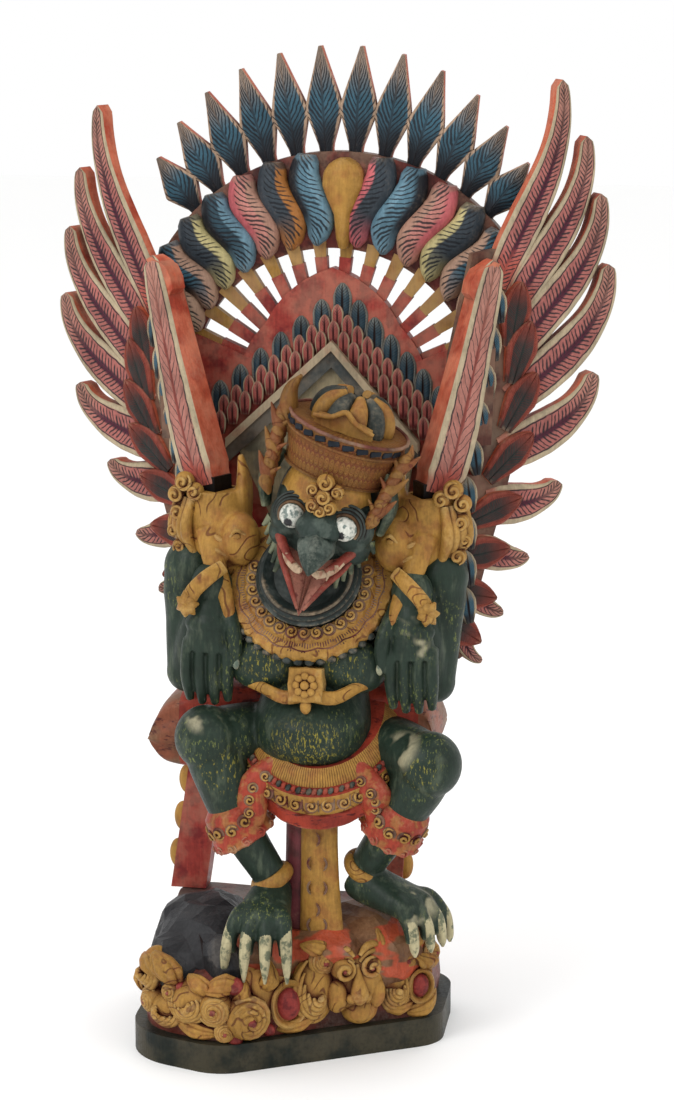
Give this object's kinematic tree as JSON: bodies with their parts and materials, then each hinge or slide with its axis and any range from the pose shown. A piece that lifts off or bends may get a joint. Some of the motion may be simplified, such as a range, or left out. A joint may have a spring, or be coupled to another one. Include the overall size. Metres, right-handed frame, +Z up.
{
  "type": "garuda figure",
  "caption": "Painted wooden garuda crouching on a rocky base, with feathered wings plugged into its shoulders and a standing fan of tail feathers behind",
  "frame": {"origin": "on the floor under the underside of the base, below the middle of the figure between its two wings", "axes": "+Z up along the whole height, the figure faces -Y, +X is to the right as a viewer in front sees it"},
  "size_m": [0.4965, 0.2399, 0.8783],
  "materials": {
    "figure_paint": "old oil paint in dark green, ochre gold and red over carved wood, worn on the high spots, soft sheen",
    "wing_left_paint": "pink and red feathers edged in cream, with black and dark red brush strokes, worn, soft sheen",
    "wing_right_paint": "pink and red feathers edged in cream, with black and dark red brush strokes, worn, soft sheen",
    "tail_fan_paint": "dark blue, cream, red and gold feathers with black brush strokes, worn, soft sheen"
  },
  "bodies": {
    "root": {"figure": "figure_paint", "wing_left": "wing_left_paint", "wing_right": "wing_right_paint", "tail_fan": "tail_fan_paint"}
  },
  "joints": []
}
